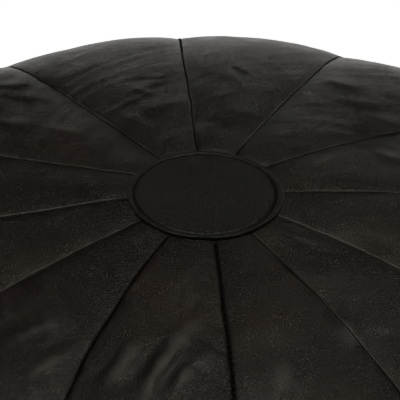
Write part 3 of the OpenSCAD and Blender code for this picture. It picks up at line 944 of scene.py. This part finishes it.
def make_inside():
    seam = reach_of_radius(BAG_SEAM_R + BAG_INSET * 0.6)
    corner = REACH[np.argmax((HEIGHT < BAG_LOW + 8 * MM) & (REACH > OUTER_R))]
    cotton = 1 * MM
    top = inner_rings(BAG_INSET, BAG_LOW, np.linspace(3 * MM, seam, 70), 0.8 * MM, 71)
    make_inner("inner_bag_top_cotton", "inner_bag_top", "cotton", top, COTTON, cotton, ("first",))
    side = inner_rings(BAG_INSET, BAG_LOW, np.linspace(seam + MM, corner, 90), 0.8 * MM, 71)
    make_inner("inner_bag_side_cotton", "inner_bag_side", "cotton", side, COTTON, cotton)
    outer = float(np.hypot(side[-1, :, 0], side[-1, :, 1]).min()) - 1 * MM
    bottom = flat_rings(outer, BAG_LOW, 0.6 * MM, 73)
    make_inner("inner_bag_bottom_cotton", "inner_bag_bottom", "cotton", bottom, COTTON, cotton,
               ("last",))
    fill = inner_rings(FILL_INSET + 0.4 * MM, FILL_LOW, np.linspace(3 * MM, corner, 110),
                       2.5 * MM, 75)
    outer = float(np.hypot(fill[-1, :, 0], fill[-1, :, 1]).min()) - 2 * MM
    fill = np.concatenate([fill, flat_rings(outer, FILL_LOW + 0.4 * MM, 2.5 * MM, 77)])
    make_inner("stuffing_fibre", "stuffing", "stuffing", fill, FIBRE, 0, ("first", "last"))


# ---------------------------------------------------------------- camera, light and floor

WARM = (1.0, 0.965, 0.90)
LAMP_DISTANCE = 3.2
CAMERA_ELEVATION = math.radians(34.35)
CAMERA_DISTANCE = 1.933
CAMERA_ROLL = 0.022
CAMERA_LENS = 233.7
# How far the aim lies from the middle of the top, to the right and up in the view
AIM_RIGHT, AIM_UP = -4.4 * MM, -5.7 * MM


def make_camera():
    back = Vector((0, -math.cos(CAMERA_ELEVATION), math.sin(CAMERA_ELEVATION)))
    right = Vector((1, 0, 0))
    up = right.cross(-back)
    spin = Matrix.Rotation(CAMERA_ROLL, 3, back)
    right, up = spin @ right, spin @ up
    aim = Vector((0, 0, TOP_Z)) + right * AIM_RIGHT + up * AIM_UP
    axes = Matrix((right, up, back)).transposed().to_4x4()
    camera = bpy.data.objects.new("camera", bpy.data.cameras.new("camera"))
    bpy.context.scene.collection.objects.link(camera)
    camera.matrix_world = Matrix.Translation(aim + back * CAMERA_DISTANCE) @ axes
    camera.data.lens = CAMERA_LENS
    camera.data.sensor_width = 36
    camera.data.clip_end = 50
    bpy.context.scene.camera = camera


def toward(azimuth, elevation):
    a, e = math.radians(azimuth), math.radians(elevation)
    return Vector((math.cos(a) * math.cos(e), math.sin(a) * math.cos(e), math.sin(e)))


def softbox(name, azimuth, elevation, size, power):
    """An oblong soft light beside the pouf, at that azimuth from +X towards +Y."""
    light = bpy.data.lights.new(name, "AREA")
    light.shape = "RECTANGLE"
    light.size, light.size_y = size
    light.energy = power
    light.color = WARM
    lamp = bpy.data.objects.new(name, light)
    outward = toward(azimuth, elevation)
    lamp.location = Vector((0, 0, 0.25)) + outward * LAMP_DISTANCE
    lamp.rotation_euler = outward.to_track_quat("Z", "Y").to_euler()
    lamp.visible_camera = False
    bpy.context.scene.collection.objects.link(lamp)


def sunlight(name, azimuth, elevation, spread, strength):
    """A soft light from far away, so that it is even over the whole floor."""
    light = bpy.data.lights.new(name, "SUN")
    light.energy = strength
    light.angle = math.radians(spread)
    light.color = WARM
    lamp = bpy.data.objects.new(name, light)
    lamp.rotation_euler = toward(azimuth, elevation).to_track_quat("Z", "Y").to_euler()
    bpy.context.scene.collection.objects.link(lamp)


def pale(name, shade, glow):
    """White paper with a slight tooth."""
    n = Nodes(name)
    where = n.where()
    colour = n.mix(n.noise(where, 3.0), (shade, shade, shade, 1),
                   (shade * 1.02, shade * 1.02, shade * 1.02, 1))
    return n.surface(colour, 0.9, n.bump(n.noise(where, 40.0), 0.1 * MM),
                     Emission_Color=(1, 1, 1, 1), Emission_Strength=glow)


def studio_surround():
    """White paper up to just over the horizon, and dim above."""
    world = bpy.data.worlds.new("studio")
    world.use_nodes = True
    nodes, links = world.node_tree.nodes, world.node_tree.links
    where = nodes.new("ShaderNodeTexCoord")
    split = nodes.new("ShaderNodeSeparateXYZ")
    fade = nodes.new("ShaderNodeMapRange")
    fade.interpolation_type = "SMOOTHSTEP"
    for key, value in (("From Min", 0.01), ("From Max", 0.049), ("To Min", 0.58), ("To Max", 0.006)):
        fade.inputs[key].default_value = value
    links.new(where.outputs["Generated"], split.inputs[0])
    links.new(split.outputs["Z"], fade.inputs["Value"])
    links.new(fade.outputs["Result"], nodes["Background"].inputs["Strength"])
    nodes["Background"].inputs["Color"].default_value = (1.0, 0.95, 0.905, 1)
    bpy.context.scene.world = world


def make_studio():
    """A wide white floor with soft lights."""
    around = 96
    verts = [(0.0, 0.0, 0.0)]
    for radius in (1.0, 6.0, 60.0):
        verts += [(radius * math.cos(a), radius * math.sin(a), 0.0)
                  for a in np.arange(around) * 2 * math.pi / around]
    faces = [(0, 1 + k, 1 + (k + 1) % around) for k in range(around)]
    faces += [tuple(1 + v for v in f) for f in grid_faces(3, around, closed=True)]
    floor = new_piece("studio_floor", np.array(verts), faces)
    floor.data.materials.append(pale("studio_paper", 0.86, 0.80))
    studio_surround()
    sunlight("key", 236, 66, 14, 0.42)
    sunlight("top", 300, 86, 12, 0.24)
    sunlight("sheen", 82, 60, 12, 0.25)
    softbox("behind_right", 50, 6, (1.5, 0.40), 3.6)
    bpy.context.scene.view_settings.view_transform = "Standard"


make_camera()
for gore in range(GORES):
    make_gore(gore)
make_seam_stitches()
make_medallion()
make_topstitch()
make_base_panel("base_panel_rear", 1)
make_base_panel("base_panel_front", -1)
make_base_threads()
make_zip_topstitch()
make_tape("zip_tape_rear", 1)
make_tape("zip_tape_front", -1)
make_teeth("zip_teeth_rear", 1)
make_teeth("zip_teeth_front", -1)
for metal_part in ("zip_slider", "zip_pull", "zip_top_stops", "zip_bottom_stop"):
    repaint(metal_part, ZIP_METAL)
repaint("medallion_backing", BUCKRAM)
make_inside()
make_studio()
